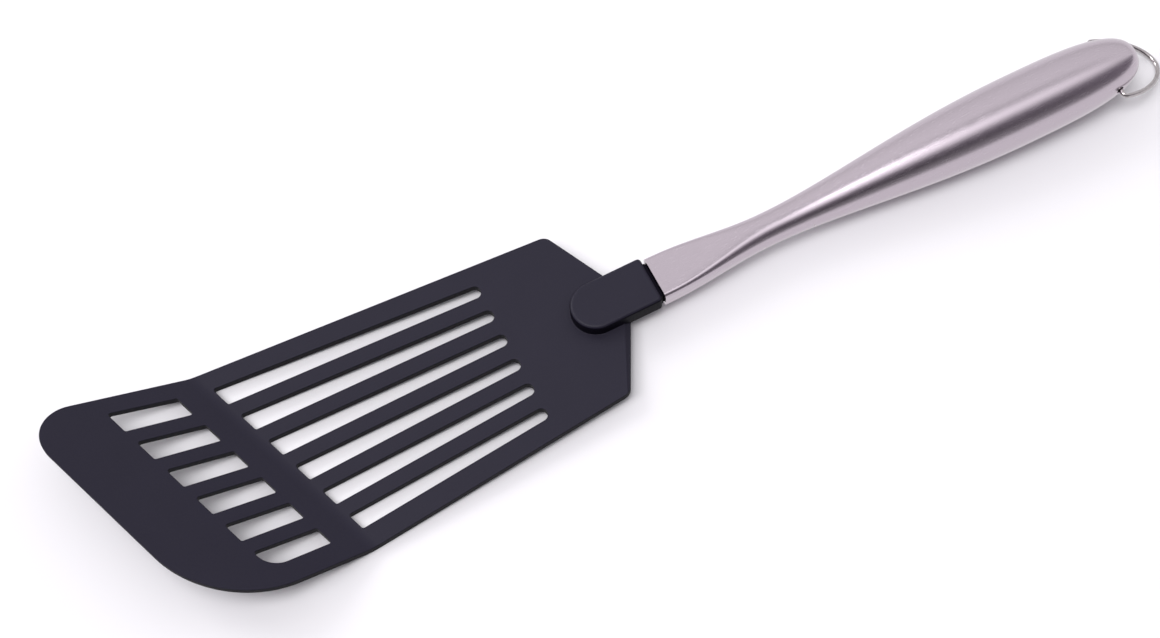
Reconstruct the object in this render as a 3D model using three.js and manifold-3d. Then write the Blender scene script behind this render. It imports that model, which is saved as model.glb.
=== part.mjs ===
// Slotted kitchen turner: a black nylon head plugged into a hollow steel handle with a wire hanging ring.
// Sizes are in millimetres. The tool's own axes: +X from the blade to the tail, with x = 0 at the rear tips
// of the slots, +Y towards the long front corner of the blade, +Z up, with z = 0 on top of the blade.
// The finished tool lies as it does on a table, on the crease of its blade and the belly of its grip.

import * as THREE from 'three';
import { mergeVertices } from 'three/addons/utils/BufferGeometryUtils.js';
import Module from 'manifold-3d';

const wasm = await Module();
wasm.setup();

// Blade: a flat plate, longer on its +Y side, whose front lip is bent up along an oblique crease
const bladeThickness = 2.8;
const shoulderX = 24.6;
const longShoulderY = 29.4;
const shortShoulderY = 28.5;
const shoulderRadius = 3.5;
const longSideFlare = THREE.MathUtils.degToRad(4);
const shortSideFlare = THREE.MathUtils.degToRad(5.3);
const creaseDistance = 76;
const creaseSkew = THREE.MathUtils.degToRad(19.3);
const bendRadius = 9;
const lipAngle = THREE.MathUtils.degToRad(23);
const lipLength = 51.4;
const lipEdgeThickness = 2;
const longCornerRadius = 10.5;
const shortCornerRadius = 30;

// Slots and windows: one fan of openings between the rims of the blade, interrupted by the crease
const slotCount = 6;
const slotCreaseGap = 2.3;
const slotWidthRear = 3.9;
const slotWidthFront = 6.15;
const longRimRear = 6.5;
const longRimFront = 6;
const shortRimRear = 7.05;
const shortRimFront = 7.3;
const windowSetback = 8.1;
const windowLength = 20.2;
const openingCornerRadius = 0.7;
const lastWindowRadius = 7;

// Boss and collar that carry the handle
const collarEndX = 46.2;
const collarRootX = 35;
const collarProud = 0.6;
const bossTipX = 19.8;
const collarEdgeRadius = 0.9;
const collarCornerStep = 0.3;

// Handle: two pressed half shells with a flat mouth, a slim neck and a round grip
const axisHeight = 0.4;
const mouthGap = 1;
const mouthWidth = 14.4;
const mouthHeight = 6.1;
const mouthCornerRadius = 0.9;
const neckDistance = 40.6;
const neckDiameter = 10.3;
const gripDiameter = 21.9;
const gripSetback = 42;
const handleLength = 167;
const wall = 1;
const seamGap = 0.3;
const swellSharpness = 0.82;
const tailFullness = 3.3;
const tailBluntness = 2.7;
const handleDip = THREE.MathUtils.degToRad(0.47);

// Tang, its root in the gap, its nose and the cement that holds them
const fitClearance = 0.3;
const rootInset = 0.3;
const rootSideInset = 1.2;
const tangThickness = 3.4;
const tangLength = 24;
const noseLength = 9;
const cementThickness = 1;
const cementCover = 6;

// Hanging ring
const ringSetback = 10.4;
const wireDiameter = 1.6;
const ringHoleClearance = 0.35;
const ringSideClearance = 0.85;
const ringSlide = 0.7;
const hookRoom = 11.4;
const ringElbowRadius = 1.2;
const bowFullness = 1.9;
const ringInsertion = 1.4;
const tableClearance = 0.1;

// Fineness of the facets
const chordError = 0.05;
const samePlace = 1e-4;
const cornerFacets = 6;
const edgeFacets = 3;
const neckSteps = 8;
const swellSteps = 9;
const tailSteps = 10;
const holeSides = 12;
const wireSides = 8;
const wireSteps = 56;
const elbowPoints = 4;
const bowPoints = 8;

const nylon = { color: 0x2f2d37, roughness: 0.55, metalness: 0 };
const steel = { color: 0xbfb5bb, roughness: 0.35, metalness: 1 };
const wire = { color: 0xc9c4c6, roughness: 0.2, metalness: 1 };
const cement = { color: 0xb9ad92, roughness: 0.8, metalness: 0 };

const creaseX = -creaseDistance;
const slotLength = creaseDistance - slotCreaseGap;
const collarHalfWidth = mouthWidth / 2 + collarProud;
const collarHeight = mouthHeight + 2 * collarProud;
const mouthX = collarEndX + mouthGap;
const neckX = mouthX + neckDistance;
const tailX = mouthX + handleLength;
const gripX = tailX - gripSetback;
const ringX = tailX - ringSetback;
const forward = new THREE.Vector3(-Math.cos(creaseSkew), -Math.sin(creaseSkew), 0);
const up = new THREE.Vector3(0, 0, 1);
const creaseDirection = new THREE.Vector3().crossVectors(forward, up);

// Turns a three.js geometry into a solid that can be joined and cut
function solidOf(geometry, matrix = new THREE.Matrix4()) {
  const bare = geometry.clone().applyMatrix4(matrix);
  bare.deleteAttribute('normal');
  bare.deleteAttribute('uv');
  const merged = mergeVertices(bare, samePlace);
  const vertProperties = new Float32Array(merged.attributes.position.array);
  const triVerts = new Uint32Array(merged.index.array);
  return new wasm.Manifold(new wasm.Mesh({ numProp: 3, vertProperties, triVerts }));
}

function meshOf(name, solid, look) {
  const { vertProperties, triVerts } = solid.getMesh();
  const geometry = new THREE.BufferGeometry();
  geometry.setAttribute('position', new THREE.BufferAttribute(vertProperties, 3));
  geometry.setIndex(new THREE.BufferAttribute(triVerts, 1));
  geometry.computeVertexNormals();
  const mesh = new THREE.Mesh(geometry, new THREE.MeshStandardMaterial(look));
  mesh.name = name;
  return mesh;
}

function boxSolid(low, high) {
  const size = new THREE.Vector3().subVectors(high, low);
  const centre = new THREE.Vector3().addVectors(low, high).multiplyScalar(0.5);
  const geometry = new THREE.BoxGeometry(size.x, size.y, size.z);
  return solidOf(geometry, new THREE.Matrix4().makeTranslation(centre));
}

// Points of an outline whose corners are rounded, each corner given as its place and radius. Where two
// roundings would meet on one side, both shrink to fit it.
function roundedOutline(corners) {
  const count = corners.length;
  const places = corners.map(({ x, y }) => new THREE.Vector2(x, y));
  const shaped = places.map((here, i) => {
    const toBefore = places[(i + count - 1) % count].clone().sub(here).normalize();
    const toAfter = places[(i + 1) % count].clone().sub(here).normalize();
    const half = Math.acos(THREE.MathUtils.clamp(toBefore.dot(toAfter), -1, 1)) / 2;
    return { here, toBefore, toAfter, half, tangent: corners[i].r / Math.tan(half) };
  });
  const sideFit = shaped.map((corner, i) => {
    const next = shaped[(i + 1) % count];
    return Math.min(1, corner.here.distanceTo(next.here) / (corner.tangent + next.tangent));
  });
  const points = [];
  shaped.forEach(({ here, toBefore, toAfter, half, tangent }, i) => {
    const reach = tangent * Math.min(sideFit[i], sideFit[(i + count - 1) % count]);
    if (reach === 0) {
      points.push(here);
      return;
    }
    const radius = reach * Math.tan(half);
    const bisector = toBefore.clone().add(toAfter).normalize();
    const centre = here.clone().addScaledVector(bisector, radius / Math.sin(half));
    const start = here.clone().addScaledVector(toBefore, reach);
    const turn = Math.sign(toAfter.cross(toBefore)) * (Math.PI - 2 * half);
    const facet = 2 * Math.acos(1 - Math.min(chordError / radius, 0.5));
    const steps = Math.max(2, Math.ceil(Math.abs(turn) / facet));
    for (let step = 0; step <= steps; step += 1) {
      points.push(start.clone().rotateAround(centre, (turn * step) / steps));
    }
  });
  return points.filter((point, i) => point.distanceTo(points[(i + 1) % points.length]) > samePlace);
}

// Plan x of the line that runs along the crease direction, a given plan distance in front of the crease
const obliqueX = (distance, y) => creaseX - distance / Math.cos(creaseSkew) - y * Math.tan(creaseSkew);
const lipPlan = (lengthAlongLip) => lengthAlongLip * Math.cos(lipAngle);

// Corner where an oblique line meets a straight edge y = offset + slope * x
function obliqueCorner(distance, { offset, slope }, r) {
  const x = (obliqueX(distance, 0) - offset * Math.tan(creaseSkew)) / (1 + slope * Math.tan(creaseSkew));
  return { x, y: offset + slope * x, r };
}

// Side edges of the blade, each through its shoulder
const edgeThrough = (y, slope) => ({ offset: y - slope * shoulderX, slope });
const longEdge = edgeThrough(longShoulderY, -Math.tan(longSideFlare));
const shortEdge = edgeThrough(-shortShoulderY, Math.tan(shortSideFlare));

function bladeOutline() {
  return roundedOutline([
    { x: collarRootX, y: collarHalfWidth, r: 0 },
    { x: shoulderX, y: longShoulderY, r: shoulderRadius },
    obliqueCorner(lipPlan(lipLength), longEdge, longCornerRadius),
    obliqueCorner(lipPlan(lipLength), shortEdge, shortCornerRadius),
    { x: shoulderX, y: -shortShoulderY, r: shoulderRadius },
    { x: collarRootX, y: -collarHalfWidth, r: 0 },
  ]);
}

// The two long edges of one opening of the fan, as y = offset + slope * x
function fanEdges(index) {
  const share = index / Math.max(1, slotCount - 1);
  const centreAt = (x, width, longRim, shortRim) => {
    const first = longEdge.offset + longEdge.slope * x - longRim - width / 2;
    const last = shortEdge.offset + shortEdge.slope * x + shortRim + width / 2;
    return THREE.MathUtils.lerp(first, last, share);
  };
  const rear = centreAt(0, slotWidthRear, longRimRear, shortRimRear);
  const front = centreAt(-slotLength, slotWidthFront, longRimFront, shortRimFront);
  return [0.5, -0.5].map((side) => {
    const offset = rear + side * slotWidthRear;
    return { offset, slope: (offset - front - side * slotWidthFront) / slotLength };
  });
}

function slotOutline(index) {
  const [far, near] = fanEdges(index);
  const frontDistance = -slotCreaseGap * Math.cos(creaseSkew);
  return roundedOutline([
    { x: 0, y: far.offset, r: slotWidthRear / 2 },
    obliqueCorner(frontDistance, far, openingCornerRadius),
    obliqueCorner(frontDistance, near, openingCornerRadius),
    { x: 0, y: near.offset, r: slotWidthRear / 2 },
  ]);
}

function windowOutline(index) {
  const [far, near] = fanEdges(index);
  const rear = lipPlan(windowSetback);
  const front = lipPlan(windowSetback + windowLength);
  const frontNearRadius = index === slotCount - 1 ? lastWindowRadius : openingCornerRadius;
  return roundedOutline([
    obliqueCorner(rear, far, openingCornerRadius),
    obliqueCorner(front, far, openingCornerRadius),
    obliqueCorner(front, near, frontNearRadius),
    obliqueCorner(rear, near, openingCornerRadius),
  ]);
}

// The bent plate before its outline is cut: a side profile swept along the crease
function bentSheet() {
  const margin = 3 * bladeThickness;
  const tangent = bendRadius * Math.tan(lipAngle / 2);
  const rearEnd = creaseX - collarEndX - longShoulderY;
  const steps = Math.ceil(lipAngle / (2 * Math.acos(1 - chordError / bendRadius)));
  const onBend = (radius, turn) =>
    new THREE.Vector2(-tangent + radius * Math.sin(turn), bendRadius - radius * Math.cos(turn));
  const lipThinning = (bladeThickness - lipEdgeThickness) / (lipLength - tangent);
  const tip = lipLength + margin;
  const tipThickness = lipEdgeThickness - margin * lipThinning;
  const tipTop = new THREE.Vector2(tip * Math.cos(lipAngle), tip * Math.sin(lipAngle));
  const tipBottom = new THREE.Vector2(Math.sin(lipAngle), -Math.cos(lipAngle))
    .multiplyScalar(tipThickness)
    .add(tipTop);
  const turns = Array.from({ length: steps + 1 }, (_, i) => (lipAngle * i) / steps);
  const profile = new THREE.Shape([
    new THREE.Vector2(rearEnd, -bladeThickness),
    ...turns.map((turn) => onBend(bendRadius + bladeThickness, turn)),
    tipBottom,
    tipTop,
    ...turns.reverse().map((turn) => onBend(bendRadius, turn)),
    new THREE.Vector2(rearEnd, 0),
  ]);
  const span = -2 * rearEnd;
  const sheet = new THREE.ExtrudeGeometry(profile, { depth: span, bevelEnabled: false });
  const place = new THREE.Matrix4().makeBasis(forward, up, creaseDirection);
  place.setPosition(new THREE.Vector3(creaseX, 0, 0).addScaledVector(creaseDirection, -span / 2));
  return solidOf(sheet, place);
}

// Half sizes and corner radius of the handle's section at x, with its surface moved in by inset
function handleSize(x, inset) {
  const neckRadius = neckDiameter / 2;
  const gripRadius = gripDiameter / 2;
  const ease = (t) => (1 - Math.cos(Math.PI * t)) / 2;
  if (x < neckX) {
    const t = ease(Math.max(0, (x - mouthX) / neckDistance));
    const blend = (mouth) => THREE.MathUtils.lerp(mouth, neckRadius, t) - inset;
    const halfWidth = blend(mouthWidth / 2);
    const halfHeight = blend(mouthHeight / 2);
    const corner = Math.max(blend(mouthCornerRadius), mouthCornerRadius / 3);
    return { halfWidth, halfHeight, corner: Math.min(corner, halfWidth, halfHeight) };
  }
  let radius = gripRadius - inset;
  if (x < gripX) {
    const t = ((x - neckX) / (gripX - neckX)) ** swellSharpness;
    radius = THREE.MathUtils.lerp(neckRadius, gripRadius, ease(t)) - inset;
  } else {
    const t = Math.min(1, (x - gripX) / (tailX - inset - gripX));
    radius *= (1 - t ** tailFullness) ** (1 / tailBluntness);
  }
  return { halfWidth: radius, halfHeight: radius, corner: radius };
}

// One closed ring of points: a rounded rectangle whose flats stay true when it is faceted
function handleRing(x, inset) {
  const { halfWidth, halfHeight, corner } = handleSize(x, inset);
  const facet = Math.PI / 2 / cornerFacets;
  const spoke = corner / Math.cos(facet / 2);
  const ring = [];
  [[1, 1, 0], [-1, 1, 1], [-1, -1, 2], [1, -1, 3]].forEach(([sideY, sideZ, quarter]) => {
    for (let i = 0; i < cornerFacets; i += 1) {
      const angle = (quarter * Math.PI) / 2 + (i + 0.5) * facet;
      const y = sideY * (halfWidth - corner) + spoke * Math.cos(angle);
      const z = axisHeight + sideZ * (halfHeight - corner) + spoke * Math.sin(angle);
      ring.push(new THREE.Vector3(x, y, z));
    }
  });
  return ring;
}

// Closed body through the handle's rings from startX to the tail, with its surface moved in by inset
function handleBody(startX, inset) {
  const tail = tailX - inset;
  const shares = (steps) => Array.from({ length: steps }, (_, i) => i / steps);
  const neck = shares(neckSteps).map((t) => THREE.MathUtils.lerp(mouthX, neckX, t));
  const swell = shares(swellSteps).map((t) => THREE.MathUtils.lerp(neckX, gripX, t));
  const end = shares(tailSteps).map((t) => THREE.MathUtils.lerp(gripX, tail, Math.sin((t * Math.PI) / 2)));
  const stations = [startX, ...neck, ...swell, ...end].filter((x, i) => i === 0 || x > startX + samePlace);
  const rings = stations.map((x) => handleRing(x, inset));
  const count = rings[0].length;
  const points = rings.flat();
  const startPole = points.push(new THREE.Vector3(startX, 0, axisHeight)) - 1;
  const endPole = points.push(new THREE.Vector3(tail, 0, axisHeight)) - 1;
  const index = [];
  const last = (rings.length - 1) * count;
  for (let i = 0; i < count; i += 1) {
    const next = (i + 1) % count;
    index.push(startPole, next, i, endPole, last + i, last + next);
    for (let base = 0; base < last; base += count) {
      const [a, b, c, d] = [base + i, base + next, base + count + next, base + count + i];
      index.push(a, b, c, a, c, d);
    }
  }
  const geometry = new THREE.BufferGeometry().setFromPoints(points);
  geometry.setIndex(index);
  return solidOf(geometry);
}

// A block across the whole handle between two x and two z
function handleBlock(startX, endX, lowZ, highZ) {
  const reach = gripDiameter;
  return boxSolid(new THREE.Vector3(startX, -reach, lowZ), new THREE.Vector3(endX, reach, highZ));
}

// The handle and what it holds are drawn level, then dip a little towards the tail from the middle of the mouth
const mouthMiddle = new THREE.Vector3(mouthX, 0, axisHeight);
const handlePlace = new THREE.Matrix4()
  .makeTranslation(mouthMiddle)
  .multiply(new THREE.Matrix4().makeRotationY(handleDip))
  .multiply(new THREE.Matrix4().makeTranslation(mouthMiddle.clone().negate()));

// What fits in the hollow of the handle keeps its clearance from the wall, and the nose its cement
const tangRootX = collarEndX - collarEdgeRadius;
const tangTipX = mouthX + tangLength;
const noseTipX = tangTipX + noseLength;
const hollowFit = handleBody(tangRootX, wall + fitClearance);

function noseSolid(grow) {
  const core = handleBody(tangRootX, wall + fitClearance + cementThickness + fitClearance - grow);
  const half = tangThickness / 2 + grow;
  return core.intersect(handleBlock(tangTipX - wall, noseTipX + grow, axisHeight - half, axisHeight + half));
}

// Boss and collar: a tongue with a round front, standing through the blade on the handle's axis
function tongueSolid() {
  const cornerRadius = collarEdgeRadius + collarCornerStep;
  const plan = new THREE.Shape(roundedOutline([
    { x: collarEndX, y: collarHalfWidth, r: cornerRadius },
    { x: bossTipX, y: collarHalfWidth, r: collarHalfWidth },
    { x: bossTipX, y: -collarHalfWidth, r: collarHalfWidth },
    { x: collarEndX, y: -collarHalfWidth, r: cornerRadius },
  ]));
  const tongue = new THREE.ExtrudeGeometry(plan, {
    depth: collarHeight - 2 * collarEdgeRadius,
    bevelThickness: collarEdgeRadius,
    bevelSize: collarEdgeRadius,
    bevelOffset: -collarEdgeRadius,
    bevelSegments: edgeFacets,
  });
  const lowest = axisHeight - collarHeight / 2;
  return solidOf(tongue, new THREE.Matrix4().makeTranslation(0, 0, lowest + collarEdgeRadius));
}

// The tang's root fills the gap and stops just short of the mouth's rim
function rootSolid() {
  const halfWidth = mouthWidth / 2 - rootSideInset;
  const halfHeight = mouthHeight / 2 - rootInset;
  return boxSolid(
    new THREE.Vector3(tangRootX, -halfWidth, axisHeight - halfHeight),
    new THREE.Vector3(mouthX - fitClearance, halfWidth, axisHeight + halfHeight),
  );
}

function headSolid() {
  const plan = new THREE.Shape(bladeOutline());
  for (let i = 0; i < slotCount; i += 1) {
    plan.holes.push(new THREE.Path(slotOutline(i)), new THREE.Path(windowOutline(i)));
  }
  const depth = 2 * (lipLength + bladeThickness);
  const prism = new THREE.ExtrudeGeometry(plan, { depth, bevelEnabled: false });
  const blade = bentSheet().intersect(solidOf(prism, new THREE.Matrix4().makeTranslation(0, 0, -depth / 2)));
  const half = tangThickness / 2;
  const tang = hollowFit.intersect(handleBlock(tangRootX, tangTipX, axisHeight - half, axisHeight + half));
  const plug = tang.add(noseSolid(0)).transform(handlePlace.elements);
  return blade.add(tongueSolid()).add(rootSolid()).add(plug);
}

function cementSolid() {
  const startX = tangTipX + fitClearance;
  const endX = noseTipX + fitClearance + cementCover;
  const whole = handleBlock(startX, endX, axisHeight - gripDiameter, axisHeight + gripDiameter);
  return hollowFit.intersect(whole).subtract(noseSolid(fitClearance)).transform(handlePlace.elements);
}

// The hollow handle, cut into its two halves at the height of its axis, with the ring's holes on the seam
function handleShells() {
  const hollow = handleBody(mouthX, 0).subtract(handleBody(tangRootX, wall));
  const holeRadius = wireDiameter / 2 + ringHoleClearance;
  const hole = new THREE.CylinderGeometry(holeRadius, holeRadius, 2 * gripDiameter, holeSides);
  const drilled = hollow.subtract(solidOf(hole, new THREE.Matrix4().makeTranslation(ringX, 0, axisHeight)));
  const half = seamGap / 2;
  const tall = gripDiameter;
  const between = (lowZ, highZ) =>
    drilled.intersect(handleBlock(mouthX - wall, tailX + wall, lowZ, highZ)).transform(handlePlace.elements);
  return {
    upper: between(axisHeight + half, axisHeight + tall),
    lower: between(axisHeight - tall, axisHeight - half),
  };
}

// Centreline of the ring from one inserted end round the bow to the other, lying in its own XY plane. It has
// slid to the short side, as a loose ring does.
const ringReach = ringSetback + hookRoom + wireDiameter / 2;

function ringPath() {
  const legY = handleSize(ringX, 0).halfWidth + ringSideClearance + wireDiameter / 2;
  const insideY = handleSize(ringX, wall).halfWidth - ringInsertion;
  const elbowY = legY - ringElbowRadius;
  const bowDepth = ringReach - ringElbowRadius;
  const quarter = (i, points) => (i * Math.PI) / 2 / points;
  const half = [new THREE.Vector3(0, insideY, 0), new THREE.Vector3(0, (insideY + elbowY) / 2, 0)];
  for (let i = 0; i <= elbowPoints; i += 1) {
    const angle = quarter(i, elbowPoints);
    const x = ringElbowRadius * (1 - Math.cos(angle));
    half.push(new THREE.Vector3(x, elbowY + ringElbowRadius * Math.sin(angle), 0));
  }
  for (let i = 1; i < bowPoints; i += 1) {
    const angle = quarter(i, bowPoints);
    const x = ringElbowRadius + bowDepth * Math.sin(angle) ** (2 / bowFullness);
    half.push(new THREE.Vector3(x, legY * Math.cos(angle) ** (2 / bowFullness), 0));
  }
  const otherHalf = half.map((p) => new THREE.Vector3(p.x, -p.y, 0)).reverse();
  const path = [...half, new THREE.Vector3(ringReach, 0, 0), ...otherHalf];
  path.forEach((p) => p.setY(p.y - ringSlide));
  return new THREE.CatmullRomCurve3(path, false, 'centripetal');
}

function ringSolid() {
  const section = new THREE.Shape();
  section.absarc(0, 0, wireDiameter / 2, 0, 2 * Math.PI);
  const round = new THREE.Shape(section.getSpacedPoints(wireSides).slice(0, wireSides));
  return solidOf(new THREE.ExtrudeGeometry(round, { steps: wireSteps, extrudePath: ringPath() }));
}

const shells = handleShells();
const tool = new THREE.Group();
const head = meshOf('blade_head', headSolid(), nylon);
const upperShell = meshOf('handle_upper_shell', shells.upper, steel);
const lowerShell = meshOf('handle_lower_shell', shells.lower, steel);
const ring = meshOf('hanging_ring', ringSolid(), wire);
const ringPivot = new THREE.Group();
ringPivot.position.set(ringX, 0, axisHeight).applyMatrix4(handlePlace);
ringPivot.add(ring);
tool.add(head, upperShell, lowerShell, meshOf('tang_cement', cementSolid(), cement), ringPivot);

// The table touches the crease and the belly, so the tool tips about the crease direction
const towardsTail = forward.clone().negate();

function profilePoints(mesh) {
  const { position } = mesh.geometry.attributes;
  return Array.from({ length: position.count }, (_, i) => {
    const point = new THREE.Vector3().fromBufferAttribute(position, i);
    return { along: point.dot(towardsTail), z: point.z };
  });
}

function lowestAlong(points, slope) {
  const height = (point) => point.z - slope * point.along;
  return points.reduce((low, point) => (height(point) < height(low) ? point : low));
}

const headPoints = profilePoints(head);
const handlePoints = profilePoints(lowerShell);
let tableSlope = 0;
let touching = headPoints[0];
for (let i = 0; i < 20; i += 1) {
  touching = lowestAlong(headPoints, tableSlope);
  const belly = lowestAlong(handlePoints, tableSlope);
  tableSlope = (belly.z - touching.z) / (belly.along - touching.along);
}
const restTilt = Math.atan(-tableSlope);
tool.quaternion.setFromAxisAngle(creaseDirection, -restTilt);

// The ring droops until its bow meets the table, or hangs straight down if it is too short
const tableNormal = up.clone().applyAxisAngle(creaseDirection, restTilt);
const touchPoint = towardsTail.clone().multiplyScalar(touching.along).setZ(touching.z);
const axleHeight = ringPivot.position.clone().sub(touchPoint).dot(tableNormal);
const drop = Math.min(1, (axleHeight - wireDiameter / 2 - tableClearance) / ringReach);
ringPivot.rotation.y = Math.atan2(tableNormal.x, tableNormal.z) + Math.asin(drop);

// The origin is under the middle of the tool, on the table
const turner = new THREE.Group();
turner.add(tool);
turner.updateMatrixWorld(true);
const bounds = new THREE.Box3().setFromObject(turner, true);
const middle = bounds.getCenter(new THREE.Vector3());
tool.position.set(-middle.x, -middle.y, -bounds.min.z);

export default turner;
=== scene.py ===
import math
import bmesh
import bpy
from mathutils import Matrix, Quaternion, Vector


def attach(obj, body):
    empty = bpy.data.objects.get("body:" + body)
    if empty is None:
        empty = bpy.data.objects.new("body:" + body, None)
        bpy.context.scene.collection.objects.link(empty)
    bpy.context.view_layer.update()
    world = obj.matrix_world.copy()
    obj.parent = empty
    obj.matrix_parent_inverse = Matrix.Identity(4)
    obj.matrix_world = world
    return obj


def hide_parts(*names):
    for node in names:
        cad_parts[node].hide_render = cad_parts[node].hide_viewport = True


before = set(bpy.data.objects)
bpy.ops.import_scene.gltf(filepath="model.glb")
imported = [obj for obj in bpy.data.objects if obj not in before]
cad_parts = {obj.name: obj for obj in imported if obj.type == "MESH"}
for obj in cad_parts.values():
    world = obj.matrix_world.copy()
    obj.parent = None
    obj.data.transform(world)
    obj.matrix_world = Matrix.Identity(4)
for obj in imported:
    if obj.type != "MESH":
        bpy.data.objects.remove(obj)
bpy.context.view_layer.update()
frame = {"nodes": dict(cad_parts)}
print("frame loaded:", ", ".join(frame["nodes"]))

# The turner is drawn in mm along its own axis: x = 0 at the rear tips of the slots, +x to the tail,
# +y to the long front corner, z = 0 on top of the blade. This turn and shift lay it on the table.
layDown = {
    "turn": (0.9998152643, 0.0063527343, -0.0181405614, 0.0),
    "shiftMm": (-43.867222, -0.2403718, 5.4844112),
}
tiny = 1e-4  # mm, what counts as the same place
mergeWithin = {"outline": 0.02, "surface": 0.001}  # mm
almost = 0.9999  # what counts as all of it
sharpEdge = 1  # radians between two faces
noiseRange = (0.3, 0.7)  # where most of a noise's values lie


def deselectAll():
    bpy.ops.object.select_all(action="DESELECT")


# The primitive just added takes its name and opens for editing, with its place already in its mesh
def openPiece(name):
    piece = bpy.context.object
    piece.name = piece.data.name = name
    bpy.ops.object.transform_apply(location=True, rotation=True, scale=True)
    bpy.ops.object.mode_set(mode="EDIT")
    return piece


def closePiece():
    bpy.ops.mesh.select_all(action="SELECT")
    bpy.ops.mesh.normals_make_consistent(inside=False)
    bpy.ops.mesh.select_all(action="DESELECT")
    bpy.ops.object.mode_set(mode="OBJECT")


# Selects the vertices, edges or faces of the piece being edited that pass a test on their middle
def pick(kind, test):
    mesh = bpy.context.object.data
    bpy.ops.mesh.select_mode(type={"verts": "VERT", "edges": "EDGE", "faces": "FACE"}[kind])
    bpy.ops.mesh.select_all(action="DESELECT")
    shape = bmesh.from_edit_mesh(mesh)
    for part in getattr(shape, kind):
        corners = [part] if kind == "verts" else part.verts
        middle = sum((corner.co for corner in corners), Vector()) / len(corners)
        if test(middle, part):
            part.select_set(True)
    bmesh.update_edit_mesh(mesh)


def extrudeBy(x, y, z):
    bpy.ops.mesh.extrude_region_move(TRANSFORM_OT_translate={"value": (x, y, z)})


def applyModifier(piece, kind, **settings):
    modifier = piece.modifiers.new(kind.lower(), kind)
    for key, value in settings.items():
        setattr(modifier, key, value)
    deselectAll()
    piece.select_set(True)
    bpy.context.view_layer.objects.active = piece
    bpy.ops.object.modifier_apply(modifier=modifier.name)


# Cuts one solid with another or joins them; the second one is used up
def combine(piece, other, operation):
    applyModifier(piece, "BOOLEAN", operation=operation, object=other, solver="EXACT")
    bpy.data.objects.remove(other)


# A finished piece goes from its drawing to the table, and rides with the body it belongs to
def layPiece(piece, body, slot, *nodes):
    deselectAll()
    piece.select_set(True)
    bpy.context.view_layer.objects.active = piece
    turn = Quaternion(layDown["turn"])
    shift = Vector(layDown["shiftMm"]) / 1000
    piece.matrix_world = Matrix.LocRotScale(shift, turn, Vector((0.001, 0.001, 0.001))) @ piece.matrix_world
    bpy.ops.object.transform_apply(location=True, rotation=True, scale=True)
    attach(piece, body)
    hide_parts(*nodes)
    print(piece.name, "laid down:", len(piece.data.polygons), "faces")


def linearColour(code):
    parts = [int(code[i:i + 2], 16) / 255 for i in (1, 3, 5)]
    return [p / 12.92 if p <= 0.04045 else ((p + 0.055) / 1.055) ** 2.4 for p in parts] + [1]


# Adds a node; an input is a value, or the output of another node to link to it
def addNode(tree, kind, inputs=None, **settings):
    node = tree.nodes.new(kind)
    for key, value in settings.items():
        setattr(node, key, value)
    for key, value in (inputs or {}).items():
        if isinstance(value, bpy.types.NodeSocket):
            tree.links.new(value, node.inputs[key])
        else:
            node.inputs[key].default_value = value
    return node


def newMaterial(name):
    material = bpy.data.materials.new(name)
    material.use_nodes = True
    material.node_tree.nodes.clear()
    return material, material.node_tree


def addNoise(tree, grainMm, **inputs):
    place = addNode(tree, "ShaderNodeTexCoord")
    return addNode(tree, "ShaderNodeTexNoise", {
        "Vector": place.outputs["Object"], "Scale": 1000 / grainMm, **inputs})


# A pattern takes the colour from one tone to another
def mixTones(tree, pattern, first, second):
    mix = addNode(tree, "ShaderNodeMix", {
        "Factor": pattern.outputs["Fac"], "A": linearColour(first), "B": linearColour(second)},
        data_type="RGBA")
    return mix.outputs[2]


# A pattern takes the roughness to both sides of its middle
def spreadRoughness(tree, pattern, look):
    spread = addNode(tree, "ShaderNodeMapRange", {
        "Value": pattern.outputs["Fac"], "From Min": noiseRange[0], "From Max": noiseRange[1],
        "To Min": look["roughness"] - look["roughnessSpread"],
        "To Max": look["roughness"] + look["roughnessSpread"]})
    return spread.outputs["Result"]


def addBump(tree, pattern, heightMm):
    bump = addNode(tree, "ShaderNodeBump", {
        "Height": pattern.outputs["Fac"], "Strength": 1, "Distance": heightMm / 1000})
    return bump.outputs["Normal"]


def addSurface(tree, inputs):
    shader = addNode(tree, "ShaderNodeBsdfPrincipled", inputs)
    addNode(tree, "ShaderNodeOutputMaterial", {"Surface": shader.outputs["BSDF"]})


nylonLook = {
    "colour": "#171423", "worn": "#1b1827", "refraction": 1.53,
    "roughness": 0.5, "roughnessSpread": 0.08, "specular": 0.19,
    "grainMm": 0.7, "grainHeightMm": 0.012, "cloudMm": 14,
}
# The upright walls get a darker copy of the nylon, smooth, with next to no sheen: painted shade, so that they
# look deeper black than the top
nylonPaintedShadeLook = {
    **nylonLook, "colour": "#0d0b14", "worn": "#100e18", "specular": 0.03, "grainHeightMm": 0.004,
}


# Glass-filled nylon, moulded in a spark-eroded tool: near black, and a fine even grain that keeps it matte
def nylonMoulded(name, look):
    material, tree = newMaterial(name)
    # real spark grain is about 0.1 mm, drawn coarser so that it shows
    grain = addNoise(tree, look["grainMm"], Detail=3, Roughness=0.6)
    cloud = addNoise(tree, look["cloudMm"], Detail=4)
    addSurface(tree, {
        "Base Color": mixTones(tree, cloud, look["colour"], look["worn"]),
        "Roughness": spreadRoughness(tree, grain, look), "IOR": look["refraction"],
        "Specular IOR Level": look["specular"], "Normal": addBump(tree, grain, look["grainHeightMm"])})
    return material


steelLook = {
    "colour": "#c3b8c2", "dull": "#bbb0ba",
    "roughness": 0.24, "roughnessSpread": 0.05,
    "lineMm": 0.24, "lineLengthMm": 4, "lineHeightMm": 0.0007, "aroundMm": 8,
}


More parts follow.
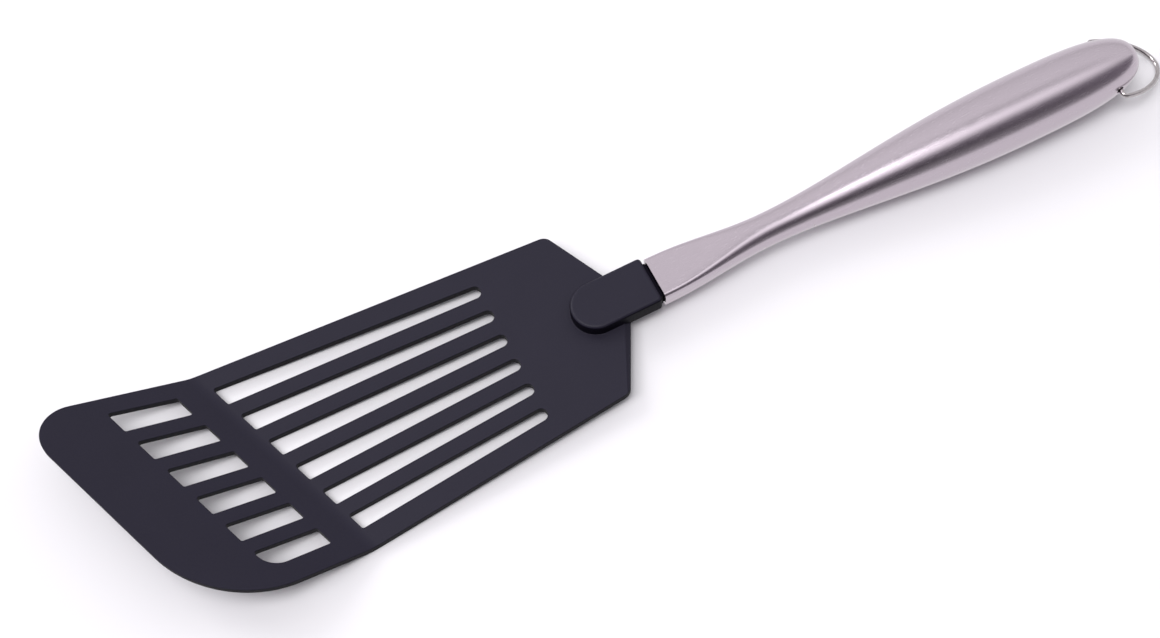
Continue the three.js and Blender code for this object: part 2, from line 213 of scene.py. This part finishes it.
# Stainless steel, brushed along its length with a fine belt: satin, with short straight lines that break up
# the reflections a little and run together at the tail
def steelBrushed():
    look = steelLook
    material, tree = newMaterial("stainless_steel_brushed")
    place = addNode(tree, "ShaderNodeTexCoord")
    turn, shift = handleAxis()
    onAxis = addNode(tree, "ShaderNodeMapping", {
        "Vector": place.outputs["Object"], "Rotation": turn, "Location": shift})
    parts = addNode(tree, "ShaderNodeSeparateXYZ", {"Vector": onAxis.outputs["Vector"]})
    across = addNode(tree, "ShaderNodeCombineXYZ", {"Y": parts.outputs["Y"], "Z": parts.outputs["Z"]})
    around = addNode(tree, "ShaderNodeVectorMath", {0: across.outputs["Vector"]}, operation="NORMALIZE")
    rim = addNode(tree, "ShaderNodeSeparateXYZ", {"Vector": around.outputs["Vector"]})
    unrolled = addNode(tree, "ShaderNodeCombineXYZ", {
        "X": parts.outputs["X"], "Y": rim.outputs["X"], "Z": rim.outputs["Y"]})
    radius = look["aroundMm"] / look["lineMm"]
    lines = addNode(tree, "ShaderNodeVectorMath", {
        0: unrolled.outputs["Vector"], 1: (1000 / look["lineLengthMm"], radius, radius)},
        operation="MULTIPLY")
    brush = addNode(tree, "ShaderNodeTexNoise", {
        "Vector": lines.outputs["Vector"], "Scale": 1, "Detail": 4, "Roughness": 0.65})
    addSurface(tree, {
        "Base Color": mixTones(tree, brush, look["dull"], look["colour"]), "Metallic": 1,
        "Roughness": spreadRoughness(tree, brush, look),
        "Normal": addBump(tree, brush, look["lineHeightMm"])})
    return material


wireLook = {"colour": "#bdb7b9", "dull": "#9d979a", "roughness": 0.16, "roughnessSpread": 0.05, "spotMm": 1.5}


# Stainless wire, drawn and tumbled: smoother than the handle, with sharper lights and faint rubbed patches
def wireDrawn():
    look = wireLook
    material, tree = newMaterial("stainless_wire_drawn")
    spots = addNoise(tree, look["spotMm"], Detail=3)
    addSurface(tree, {
        "Base Color": mixTones(tree, spots, look["dull"], look["colour"]), "Metallic": 1,
        "Roughness": spreadRoughness(tree, spots, look)})
    return material


cementLook = {"colour": "#b9ad92", "dark": "#8f8570", "roughness": 0.85, "sandMm": 0.6, "sandHeightMm": 0.08}


# Cutlery cement, poured and cured: dull and sandy
def cementCured():
    look = cementLook
    material, tree = newMaterial("cutlery_cement_cured")
    sand = addNoise(tree, look["sandMm"], Detail=4)
    addSurface(tree, {
        "Base Color": mixTones(tree, sand, look["dark"], look["colour"]), "Roughness": look["roughness"],
        "Normal": addBump(tree, sand, look["sandHeightMm"])})
    return material


bladeSize = {
    "thickness": 2.8,
    "shoulderX": 24.6, "longShoulderY": 29.4, "shortShoulderY": 27.85, "shoulderRadius": 3.5,
    "farRearOut": 0.5, "runInside": 1.1,
    "longFlare": math.tan(math.radians(4)), "shortFlare": math.tan(math.radians(5.5)),
    "creaseX": -76, "creaseSkew": math.radians(19.3),
    "bendRadius": 9, "bendSteps": 10, "lipAngle": math.radians(23),
    "lipLength": 51.4, "lipEdge": 2, "longCorner": 10.5, "shortCorner": 33,
    "slots": 6, "slotGap": 2.3, "widthRear": 3.9, "widthFront": 6.15,
    "longRimRear": 6.5, "longRimFront": 6, "shortRimRear": 6.49, "shortRimFront": 7,
    "windowSetback": 8.1, "windowLength": 20.2, "openingCorner": 0.7, "lastWindowCorner": 7,
    "edgeRadius": 0.2, "edgeSteps": 3, "edgeFrom": math.radians(35), "smoothBelow": math.radians(40),
    "wallSlope": 0.5,
    "rearSlope": math.radians(40), "rearSlopeRoot": 1.8, "rearSlopeShoulder": 0.8,
}
collarSize = {
    "rootX": 35, "endX": 46.2, "tipX": 19.8, "halfWidth": 7.8, "aside": 0.3,
    "low": -2.3, "high": 4.4, "axisHeight": 0.4, "cornerRadius": 1.2, "edgeRadius": 1.1, "edgeSteps": 5,
    "stopX": 46.9, "rootHalfWidth": 6, "rootHalfHeight": 2.75,
    "tangX": 71.2, "tangHalfWidths": (5.9, 4.58), "tangHalfHeight": 1.7,
    "noseX": 80.2, "noseHalfWidths": (3.28, 2.7), "noseHalfHeight": 1.6,
}


# A prism whose upright corners are rounded, each corner given as (x, y, radius)
def roundedPrism(name, corners, low, high):
    deselectAll()
    count = len(corners)
    bpy.ops.mesh.primitive_circle_add(vertices=count, radius=1, fill_type="NGON", location=(0, 0, low))
    piece = openPiece(name)
    starts = [vertex.co.copy() for vertex in piece.data.vertices]
    places = [Vector((x, y, low)) for x, y, _ in corners]
    for start, place in zip(starts, places):
        pick("verts", lambda middle, _: (middle - start).length < tiny)
        bpy.ops.transform.translate(value=place - start)
    sides = [(places[(i + 1) % count] - places[i]).length for i in range(count)]
    halves = []
    for i, place in enumerate(places):
        before, after = places[i - 1] - place, places[(i + 1) % count] - place
        halves.append(before.angle(after) / 2)
    reaches = [corner[2] / math.tan(half) for corner, half in zip(corners, halves)]
    # where two roundings meet on one side, both shrink to fit it
    wanted = [max(tiny, reaches[i] + reaches[(i + 1) % count]) for i in range(count)]
    fits = [min(1, almost * side / both) for side, both in zip(sides, wanted)]
    for i, place in enumerate(places):
        reach = reaches[i] * min(fits[i], fits[i - 1])
        if reach == 0:
            continue
        fewest, perRoot = 4, 6
        steps = max(fewest, round(math.sqrt(corners[i][2]) * perRoot))
        sharpness = math.sin(halves[i])
        pick("verts", lambda middle, _: (middle - place).length < tiny)
        bpy.ops.mesh.bevel(
            offset=reach, segments=steps, affect="VERTICES", clamp_overlap=False,
            profile=((1 + 2 * sharpness) / (2 + 2 * sharpness)) ** 2)  # keeps the arc round at any angle
    pick("faces", lambda middle, _: True)
    bpy.ops.mesh.remove_doubles(threshold=mergeWithin["outline"])
    extrudeBy(0, 0, high - low)
    closePiece()
    return piece


# The side edges of the blade and of its openings are lines y = start + slope * x
def lineThrough(x, y, slope):
    return y - slope * x, slope


def lineAt(line, x):
    return line[0] + line[1] * x


# Where such a line meets the line along the crease that is a plan distance in front of it
def obliqueCorner(distance, line, radius):
    skew = math.tan(bladeSize["creaseSkew"])
    x = bladeSize["creaseX"] - distance / math.cos(bladeSize["creaseSkew"])
    x = (x - line[0] * skew) / (1 + line[1] * skew)
    return x, lineAt(line, x), radius


def openingLines(index, longSide, shortSide):
    size = bladeSize
    share = index / (size["slots"] - 1)
    frontX = size["creaseX"] + size["slotGap"]
    middles = []
    for x, width, longRim, shortRim in (
            (0, size["widthRear"], size["longRimRear"], size["shortRimRear"]),
            (frontX, size["widthFront"], size["longRimFront"], size["shortRimFront"])):
        first = lineAt(longSide, x) - longRim - width / 2
        last = lineAt(shortSide, x) + shortRim + width / 2
        middles.append(first + (last - first) * share)
    lines = []
    for side in (0.5, -0.5):
        rear = middles[0] + side * size["widthRear"]
        front = middles[1] + side * size["widthFront"]
        lines.append((rear, (front - rear) / frontX))
    return lines


# The plate is drawn with its crease on the Y axis: its rear end is extruded to the bend, spun up and extruded
# to the lip's edge, where the underside comes up to thin it
def bentPlate():
    size = bladeSize
    thickness, angle = size["thickness"], size["lipAngle"]
    # long and wide enough for the outline to be cut from it
    rearX, span, margin = 150, 260, 8
    middle = (rearX, 0, -thickness / 2)
    bendStart = size["bendRadius"] * math.tan(angle / 2)
    lip = size["lipLength"] - bendStart
    deselectAll()
    bpy.ops.mesh.primitive_plane_add(size=1, location=middle, rotation=(0, math.pi / 2, 0))
    piece = openPiece("plate")
    pick("faces", lambda *_: True)
    bpy.ops.transform.resize(value=(1, span, thickness), center_override=middle)
    extrudeBy(bendStart - rearX, 0, 0)
    bpy.ops.mesh.spin(
        steps=size["bendSteps"], angle=-angle, center=(bendStart, 0, size["bendRadius"]), axis=(0, 1, 0))
    reach = lip + margin
    extrudeBy(-reach * math.cos(angle), 0, reach * math.sin(angle))
    thinning = (thickness - size["lipEdge"]) / lip * reach
    edgeX = -(size["lipLength"] + margin) * math.cos(angle)
    edgeZ = -edgeX * math.tan(angle)
    pick("verts", lambda place, _: place.x < edgeX + thickness and place.z < edgeZ - thickness / 2)
    bpy.ops.transform.translate(value=(-thinning * math.sin(angle), 0, thinning * math.cos(angle)))
    closePiece()
    piece.location.x = size["creaseX"]
    piece.rotation_euler.z = size["creaseSkew"]
    bpy.ops.object.transform_apply(location=True, rotation=True, scale=True)
    return piece


# Boss, collar and tang: one tongue with a round front on the handle's axis
def collarTongue():
    size = collarSize
    half, axis, low, high = size["halfWidth"], size["axisHeight"], size["low"], size["high"]
    far, near = size["aside"] + half, size["aside"] - half
    piece = roundedPrism("tongue", [
        (size["endX"], far, size["cornerRadius"]), (size["tipX"], far, half),
        (size["tipX"], near, half), (size["endX"], near, size["cornerRadius"])], low, high)
    bpy.ops.object.mode_set(mode="EDIT")
    pick("edges", lambda middle, edge: min(abs(middle.z - low), abs(middle.z - high)) < tiny)
    bpy.ops.mesh.bevel(
        offset=size["edgeRadius"], segments=size["edgeSteps"], affect="EDGES", clamp_overlap=False)
    pick("faces", lambda middle, face: face.normal.x > almost)
    # the root, the tang and its nose: where each step ends, its half width and half height
    x, width, height = size["endX"], half - size["cornerRadius"], (high - low) / 2 - size["edgeRadius"]
    aside, lift = -size["aside"], axis - (low + high) / 2
    tang, nose = size["tangHalfHeight"], size["noseHalfHeight"]
    fall = math.tan(handleSize["dip"])
    for nextX, nextWidth, nextHeight in (
            (size["endX"], size["rootHalfWidth"], size["rootHalfHeight"]),
            (size["stopX"], size["rootHalfWidth"], size["rootHalfHeight"]),
            (size["stopX"], size["tangHalfWidths"][0], tang),
            (size["tangX"], size["tangHalfWidths"][1], tang),
            (size["tangX"], size["noseHalfWidths"][0], nose),
            (size["noseX"], size["noseHalfWidths"][1], nose)):
        # the first step also brings it to the handle's axis
        extrudeBy(nextX - x, aside, (x - nextX) * fall + lift)
        aside = lift = 0
        bpy.ops.transform.resize(
            value=(1, nextWidth / width, nextHeight / height),
            center_override=(nextX, 0, axis + (size["endX"] - nextX) * fall))
        x, width, height = nextX, nextWidth, nextHeight
    closePiece()
    return piece


# The near rear edge slopes off, broadly at the collar and less at the shoulder: a tilted block cuts it
def slopeRear(blade):
    size = bladeSize
    root = Vector((collarSize["rootX"], -collarSize["halfWidth"], 0))
    shoulder = Vector((size["shoulderX"], -size["shortShoulderY"], 0))
    squareTo = Matrix.Rotation(math.pi / 2, 3, "Z")
    inward = squareTo @ (root - shoulder).normalized()
    first, last = root + inward * size["rearSlopeRoot"], shoulder + inward * size["rearSlopeShoulder"]
    outward = squareTo @ (last - first).normalized()
    face = outward * math.sin(size["rearSlope"]) + Vector((0, 0, math.cos(size["rearSlope"])))
    reach = 3 * (last - first).length
    deselectAll()
    bpy.ops.mesh.primitive_cube_add(
        size=reach, location=(first + last) / 2 + face * reach / 2,
        rotation=face.to_track_quat("Z", "Y").to_euler())
    block = openPiece("block")
    closePiece()
    combine(blade, block, "DIFFERENCE")


def makeBladeHead():
    size = bladeSize
    longSide = lineThrough(size["shoulderX"], size["longShoulderY"], -size["longFlare"])
    shortSide = lineThrough(size["shoulderX"], -size["shortShoulderY"], size["shortFlare"])
    flat = math.cos(size["lipAngle"])
    front = size["lipLength"] * flat
    # the rear edges run on a little way inside the collar
    inside = size["runInside"]
    rootX = size["shoulderX"] + inside * (collarSize["rootX"] - size["shoulderX"])
    longRootY = size["longShoulderY"] + inside * (collarSize["halfWidth"] - size["longShoulderY"])
    shortRootY = size["shortShoulderY"] + inside * (collarSize["halfWidth"] - size["shortShoulderY"])
    out = size["farRearOut"]
    blade = bentPlate()
    deep = 60
    outline = roundedPrism("outline", [
        (rootX + out, longRootY, 0),
        (size["shoulderX"] + out, lineAt(longSide, size["shoulderX"] + out), size["shoulderRadius"]),
        obliqueCorner(front, longSide, size["longCorner"]),
        obliqueCorner(front, shortSide, size["shortCorner"]),
        (size["shoulderX"], -size["shortShoulderY"], size["shoulderRadius"]),
        (rootX, -shortRootY, 0)], -deep, deep)
    combine(blade, outline, "INTERSECT")
    slopeRear(blade)
    combine(blade, collarTongue(), "UNION")
    print("blade joined to its collar")
    cutters = []
    for index in range(size["slots"]):
        far, near = openingLines(index, longSide, shortSide)
        behind = -size["slotGap"] * math.cos(size["creaseSkew"])
        corner = size["openingCorner"]
        cutters.append(roundedPrism("slot", [
            (0, far[0], size["widthRear"] / 2), obliqueCorner(behind, far, corner),
            obliqueCorner(behind, near, corner), (0, near[0], size["widthRear"] / 2)], -deep, deep))
        rear = size["windowSetback"] * flat
        ahead = (size["windowSetback"] + size["windowLength"]) * flat
        nearCorner = size["lastWindowCorner"] if index == size["slots"] - 1 else corner
        cutters.append(roundedPrism("window", [
            obliqueCorner(rear, far, corner), obliqueCorner(ahead, far, corner),
            obliqueCorner(ahead, near, nearCorner), obliqueCorner(rear, near, corner)], -deep, deep))
    deselectAll()
    for cutter in cutters:
        cutter.select_set(True)
    bpy.ops.object.join()
    combine(blade, bpy.context.object, "DIFFERENCE")
    print("slots and windows cut")
    applyModifier(blade, "BEVEL", width=size["edgeRadius"], segments=size["edgeSteps"], limit_method="ANGLE",
                  angle_limit=size["edgeFrom"], use_clamp_overlap=False)
    bpy.ops.object.shade_smooth_by_angle(angle=size["smoothBelow"])
    applyModifier(blade, "WEIGHTED_NORMAL", keep_sharp=True)
    blade.name = blade.data.name = "blade_head_moulding"
    blade.data.materials.append(nylonMoulded("nylon_moulded_black", nylonLook))
    # the second material is a darker copy of the nylon, painted shade for the walls and the root
    blade.data.materials.append(nylonMoulded("nylon_moulded_black_painted_shade", nylonPaintedShadeLook))
    # upright walls, and what lies in the shade of the gap to the handle, get the darker copy: painted shade
    bpy.ops.object.mode_set(mode="EDIT")
    pick("faces", lambda middle, face: (
        abs(face.normal.z) < size["wallSlope"] or middle.x > collarSize["endX"] + tiny))
    blade.active_material_index = 1
    bpy.ops.object.material_slot_assign()
    bpy.ops.object.mode_set(mode="OBJECT")
    return blade


handleSize = {
    "mouthX": 47.2, "mouthWidth": 14.4, "mouthHeight": 7, "mouthLift": 0.45, "mouthCorner": 1.6,
    "straight": 1.5, "neckX": 87.8, "neckRadius": 5.15, "gripX": 172.2, "gripRadius": 10.95, "tailX": 214.2,
    "swellSharpness": 0.82, "tailFullness": 3.3, "tailBluntness": 2.7,
    "axisHeight": 0.4, "dip": math.radians(0.47), "wall": 1.0,
    "cornerSteps": 12, "flatSteps": 6, "neckCuts": 18, "swellSteps": 24, "tailSteps": 26,
    "holeX": 203.6, "holeLift": 0.15, "holeRadius": 1.25, "holeSides": 40, "rimRadius": 0.18, "rimSteps": 2,
    "smoothBelow": math.radians(50),
}


# The handle is drawn level, then dips a little towards the tail from the middle of its mouth
def handleDip():
    mouth = Matrix.Translation((handleSize["mouthX"], 0, handleSize["axisHeight"]))
    return mouth @ Matrix.Rotation(handleSize["dip"], 4, "Y") @ mouth.inverted()


# How the material finds the handle's axis: the turn and shift that bring it onto the X axis, in metres
def handleAxis():
    lay = Matrix.LocRotScale(Vector(layDown["shiftMm"]), Quaternion(layDown["turn"]), None)
    level = Matrix.Translation((0, 0, -handleSize["axisHeight"])) @ (lay @ handleDip()).inverted()
    return level.to_euler(), level.translation / 1000


def handleRadius(x):
    size = handleSize
    if x < size["gripX"]:
        share = ((x - size["neckX"]) / (size["gripX"] - size["neckX"])) ** size["swellSharpness"]
        swell = (1 - math.cos(math.pi * share)) / 2
        return size["neckRadius"] + (size["gripRadius"] - size["neckRadius"]) * swell
    share = min(1, (x - size["gripX"]) / (size["tailX"] - size["gripX"]))
    return size["gripRadius"] * (1 - share ** size["tailFullness"]) ** (1 / size["tailBluntness"])


def makeHandle():
    size = handleSize
    axis, mouthX = size["axisHeight"], size["mouthX"]
    mouth = (mouthX, 0, axis + size["mouthLift"])
    deselectAll()
    # flat mouth: a rectangle with rounded corners
    bpy.ops.mesh.primitive_plane_add(size=1, location=mouth, rotation=(0, math.pi / 2, 0))
    piece = openPiece("handle_shell_steel")
    pick("verts", lambda middle, _: True)
    bpy.ops.transform.resize(value=(1, size["mouthWidth"], size["mouthHeight"]), center_override=mouth)
    bpy.ops.mesh.bevel(offset=size["mouthCorner"], segments=size["cornerSteps"], affect="VERTICES")
    bpy.ops.mesh.delete(type="ONLY_FACE")
    pick("edges", lambda middle, edge: edge.calc_length() > size["mouthCorner"])
    bpy.ops.mesh.subdivide(number_cuts=size["flatSteps"] - 1)
    pick("edges", lambda middle, _: True)
    extrudeBy(size["straight"], 0, 0)
    # round neck, drawn out through the grip to the tail
    around = 4 * (size["cornerSteps"] + size["flatSteps"])
    bpy.ops.mesh.select_all(action="DESELECT")
    bpy.ops.mesh.primitive_circle_add(
        vertices=around, radius=size["neckRadius"], fill_type="NOTHING",
        location=(size["neckX"], 0, axis), rotation=(0, math.pi / 2, 0))
    stations = [size["neckX"] + (size["gripX"] - size["neckX"]) * i / size["swellSteps"]
                for i in range(1, size["swellSteps"] + 1)]
    tail = size["tailX"] - size["gripX"]
    stations += [size["gripX"] + tail * math.sin(math.pi / 2 * i / size["tailSteps"])
                 for i in range(1, size["tailSteps"])]
    lastX, lastRadius = size["neckX"], size["neckRadius"]
    for x in stations:
        radius = handleRadius(x)
        extrudeBy(x - lastX, 0, 0)
        scale = radius / lastRadius
        bpy.ops.transform.resize(value=(1, scale, scale), center_override=(x, 0, axis))
        lastX, lastRadius = x, radius
    extrudeBy(size["tailX"] - lastX, 0, 0)
    bpy.ops.mesh.merge(type="CENTER")
    # flat mouth and round neck flow into each other
    pick("edges", lambda middle, edge: any(
        all(abs(v.co.x - x) < tiny for v in edge.verts) for x in (mouthX + size["straight"], size["neckX"])))
    bpy.ops.mesh.bridge_edge_loops(number_cuts=size["neckCuts"], interpolation="SURFACE", smoothness=1)
    bpy.ops.mesh.select_all(action="SELECT")
    bpy.ops.mesh.remove_doubles(threshold=mergeWithin["surface"])
    closePiece()
    applyModifier(piece, "SOLIDIFY", thickness=size["wall"], offset=-1, use_even_offset=True)
    deselectAll()
    bpy.ops.mesh.primitive_cylinder_add(
        vertices=size["holeSides"], radius=size["holeRadius"], depth=4 * size["gripRadius"],
        location=(size["holeX"], 0, axis + size["holeLift"]), rotation=(math.pi / 2, 0, 0))
    combine(piece, bpy.context.object, "DIFFERENCE")
    bpy.ops.object.mode_set(mode="EDIT")
    pick("edges", lambda middle, edge: (
        abs(middle.x - size["holeX"]) < 2 * size["holeRadius"] and len(edge.link_faces) == 2
        and edge.calc_face_angle() > sharpEdge))
    bpy.ops.mesh.bevel(offset=size["rimRadius"], segments=size["rimSteps"], affect="EDGES")
    bpy.ops.object.mode_set(mode="OBJECT")
    bpy.ops.object.shade_smooth_by_angle(angle=size["smoothBelow"])
    piece.data.transform(handleDip())
    piece.data.materials.append(steelBrushed())
    return piece


ringSize = {
    "pivotX": 203.8, "axisHeight": 0.4, "wireRadius": 0.775, "wireSides": 20,
    "insideY": 6.714, "legY": 10.762, "elbowRadius": 1.2, "reach": 22.6, "bowFullness": 1.9, "slide": 0.7,
    "droop": math.radians(31.475), "elbowSteps": 8, "bowSteps": 24, "endRadius": 0.2,
    "endSteps": 2, "smoothBelow": math.radians(50),
}


# The centreline is drawn point by point, from one end in its hole round the bow to the other, and becomes a
# curve whose round section is the wire
def makeRing():
    size = ringSize
    elbow, legY, power = size["elbowRadius"], size["legY"], 2 / size["bowFullness"]
    elbowTurns = [math.pi / 2 * i / size["elbowSteps"] for i in range(size["elbowSteps"] + 1)]
    bowTurns = [math.pi / 2 * i / size["bowSteps"] for i in range(1, size["bowSteps"])]
    half = [(0, size["insideY"])]
    half += [(elbow * (1 - math.cos(turn)), legY - elbow * (1 - math.sin(turn))) for turn in elbowTurns]
    half += [(elbow + (size["reach"] - elbow) * math.sin(turn) ** power, legY * math.cos(turn) ** power)
             for turn in bowTurns]
    path = half + [(size["reach"], 0)] + [(x, -y) for x, y in reversed(half)]
    deselectAll()
    bpy.ops.mesh.primitive_plane_add(size=1, location=(path[0][0], path[0][1], 0))
    piece = openPiece("hanging_ring_wire")
    pick("verts", lambda middle, _: True)
    bpy.ops.mesh.merge(type="CENTER")
    for (lastX, lastY), (x, y) in zip(path, path[1:]):
        extrudeBy(x - lastX, y - lastY, 0)
    bpy.ops.object.mode_set(mode="OBJECT")
    bpy.ops.object.convert(target="CURVE")
    wire = piece.data
    wire.bevel_depth, wire.bevel_resolution = size["wireRadius"], size["wireSides"] // 4
    wire.use_fill_caps = True
    bpy.ops.object.convert(target="MESH")
    bpy.ops.object.mode_set(mode="EDIT")
    bpy.ops.mesh.select_all(action="SELECT")
    bpy.ops.mesh.remove_doubles(threshold=mergeWithin["surface"])
    pick("edges", lambda middle, edge: len(edge.link_faces) == 2 and edge.calc_face_angle() > sharpEdge)
    bpy.ops.mesh.bevel(offset=size["endRadius"], segments=size["endSteps"], affect="EDGES")
    closePiece()
    # the loose ring has slid to the short side and droops from its holes until it touches the table
    pivot = handleDip() @ Vector((size["pivotX"], 0, size["axisHeight"]))
    piece.data.transform(Matrix.Translation(pivot) @ Matrix.Rotation(size["droop"], 4, "Y")
                         @ Matrix.Translation((0, -size["slide"], 0)))
    bpy.ops.object.shade_smooth_by_angle(angle=size["smoothBelow"])
    piece.data.materials.append(wireDrawn())
    return piece


layPiece(makeBladeHead(), "spatula", "nylon_black", "blade_head")
layPiece(makeHandle(), "spatula", "steel_brushed", "handle_upper_shell", "handle_lower_shell")
layPiece(makeRing(), "ring", "steel_wire", "hanging_ring")
for slot in frame["nodes"]["tang_cement"].material_slots:
    slot.material = cementCured()

floorLook = {"size": 12, "colour": "#d9d7db", "inMetal": 0.8}


# Matte card, which the lamps bring up to white; the shadow stays. Metal shows more of the white than of the
# shadow.
def makeFloor():
    deselectAll()
    bpy.ops.mesh.primitive_plane_add(size=floorLook["size"], location=(0, 0, 0))
    floor = bpy.context.object
    floor.name = "floor"
    material, tree = newMaterial("card_matte")
    card = addNode(tree, "ShaderNodeBsdfDiffuse", {"Color": linearColour(floorLook["colour"])})
    white = addNode(tree, "ShaderNodeEmission", {"Strength": 1})
    path = addNode(tree, "ShaderNodeLightPath")
    amount = addNode(tree, "ShaderNodeMath", {
        0: path.outputs["Is Glossy Ray"], 1: floorLook["inMetal"]}, operation="MULTIPLY")
    seen = addNode(tree, "ShaderNodeMixShader", {
        0: amount.outputs["Value"], 1: card.outputs["BSDF"], 2: white.outputs["Emission"]})
    addNode(tree, "ShaderNodeOutputMaterial", {"Surface": seen.outputs["Shader"]})
    floor.data.materials.append(material)


# A white tent: brightest just in front of the zenith, bright behind the turner and low on the left, dark low
# in front. A stop is (degrees round from the far horizon over the zenith to the near one, level).
tentLight = {
    "left": [(0, 2), (45, 1.25), (75, 0.4), (110, 0.4), (122, 0)],
    "middle": [(0, 0.9), (60, 1), (73, 0.95), (84, 0.5), (91, 0.6), (106, 1.7), (113, 1.6), (133, 0.2),
               (150, 0.05), (180, 0.5)],
    "right": [(0, 0.7), (30, 0.9), (106, 1), (114, 0.85), (132, 0.25), (180, 0.2)],
    "sideReach": 0.8, "dusk": 0.5, "duskTint": (1.0, 0.9, 1.04),
}
# Large soft lamps: far left, left and nearly overhead. Their shadows fall to the near right. A lamp is
# (degrees round from +X, degrees above the table, strength).
lampLook = {"softDegrees": 24, "lamps": [(120, 35, 0.8), (180, 55, 1.05), (210, 75, 1.25)]}


def lightTent():
    look = tentLight
    world = bpy.data.worlds.new("light_tent")
    world.use_nodes = True
    tree = world.node_tree
    tree.nodes.clear()
    place = addNode(tree, "ShaderNodeTexCoord")
    parts = addNode(tree, "ShaderNodeSeparateXYZ", {"Vector": place.outputs["Generated"]})
    angle = addNode(
        tree, "ShaderNodeMath", {0: parts.outputs["Z"], 1: parts.outputs["Y"]}, operation="ARCTAN2")
    share = addNode(
        tree, "ShaderNodeMath", {0: angle.outputs["Value"], 1: math.pi}, operation="DIVIDE", use_clamp=True)
    levels = []
    for side in ("left", "middle", "right"):
        ramp = addNode(tree, "ShaderNodeValToRGB", {"Fac": share.outputs["Value"]})
        stops = ramp.color_ramp.elements
        while len(stops) < len(look[side]):
            stops.new(0.5)
        for stop, (degrees, level) in zip(stops, look[side]):
            stop.position = degrees / 180
            tint = look["duskTint"] if level < look["dusk"] else (1, 1, 1)
            stop.color = [level * part for part in tint] + [1]
        levels.append(ramp.outputs["Color"])
    left, colour, right = levels
    for reach, level in ((-look["sideReach"], left), (look["sideReach"], right)):
        amount = addNode(
            tree, "ShaderNodeMath", {0: parts.outputs["X"], 1: reach}, operation="DIVIDE", use_clamp=True)
        mix = addNode(tree, "ShaderNodeMix", {
            "Factor": amount.outputs["Value"], "A": colour, "B": level}, data_type="RGBA")
        colour = mix.outputs[2]
    light = addNode(tree, "ShaderNodeBackground", {"Color": colour})
    addNode(tree, "ShaderNodeOutputWorld", {"Surface": light.outputs["Background"]})
    bpy.context.scene.world = world


def addLamps():
    for azimuth, height, strength in lampLook["lamps"]:
        deselectAll()
        bpy.ops.object.light_add(type="SUN", rotation=(0, math.radians(90 - height), math.radians(azimuth)))
        lamp = bpy.context.object.data
        lamp.energy = strength
        lamp.angle = math.radians(lampLook["softDegrees"])


cameraPlace = {
    "location": (-0.169782, -0.319326, 0.738407),
    "degrees": (25.651861, 0.972017, -26.897302),
    "lensMm": 84.578, "sensorMm": 36, "nearestM": 0.01,
}


def setCamera():
    deselectAll()
    bpy.ops.object.camera_add(
        location=cameraPlace["location"], rotation=[math.radians(d) for d in cameraPlace["degrees"]])
    camera = bpy.context.object
    camera.data.sensor_fit = "HORIZONTAL"
    camera.data.sensor_width = cameraPlace["sensorMm"]
    camera.data.lens = cameraPlace["lensMm"]
    camera.data.clip_start = cameraPlace["nearestM"]
    bpy.context.scene.camera = camera


makeFloor()
lightTent()
addLamps()
setCamera()
bpy.context.scene.view_settings.view_transform = "Standard"
print("floor, light and camera set")
